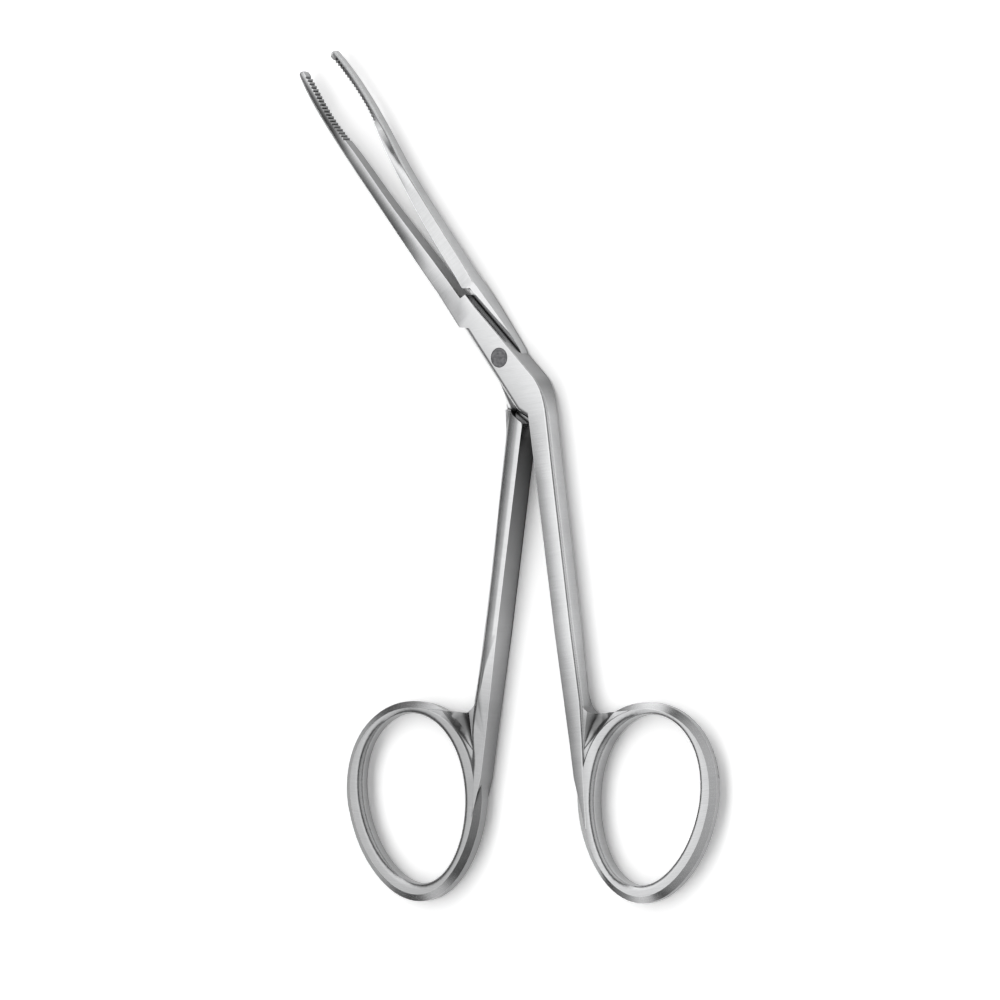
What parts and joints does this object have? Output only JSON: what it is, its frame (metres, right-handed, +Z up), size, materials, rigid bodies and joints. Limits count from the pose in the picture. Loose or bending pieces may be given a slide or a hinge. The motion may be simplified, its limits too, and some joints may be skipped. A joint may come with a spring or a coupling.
{
  "type": "nasal dressing forceps",
  "caption": "Slim scissor-handled forceps with angled jaws that are cross-serrated at the tips, two finger rings and a flush pivot pin.",
  "frame": {"origin": "middle of the bounding box in X and Y, on the flat underside", "axes": "the forceps lie flat: +Z is up and out of the seen face along the pivot's axis, +Y runs from the finger rings towards the jaws along the line midway between the shanks, and +X points away from the side that the jaws lean to"},
  "size_m": [0.075, 0.127, 0.0041],
  "materials": {
    "steel": "satin, brushed across the shanks",
    "pin_steel": "satin, ground flush"
  },
  "bodies": {
    "fixed_half": {"lower_half": "steel", "pivot_pin": "pin_steel"},
    "moving_half": {"upper_half": "steel"}
  },
  "joints": [
    {"name": "pivot", "type": "hinge", "parent": "fixed_half", "child": "moving_half", "pos_m": [-0.0004, 0.0175, 0.00205], "axis": [0, 0, 1], "range_deg": [-5.5, 35]}
  ]
}
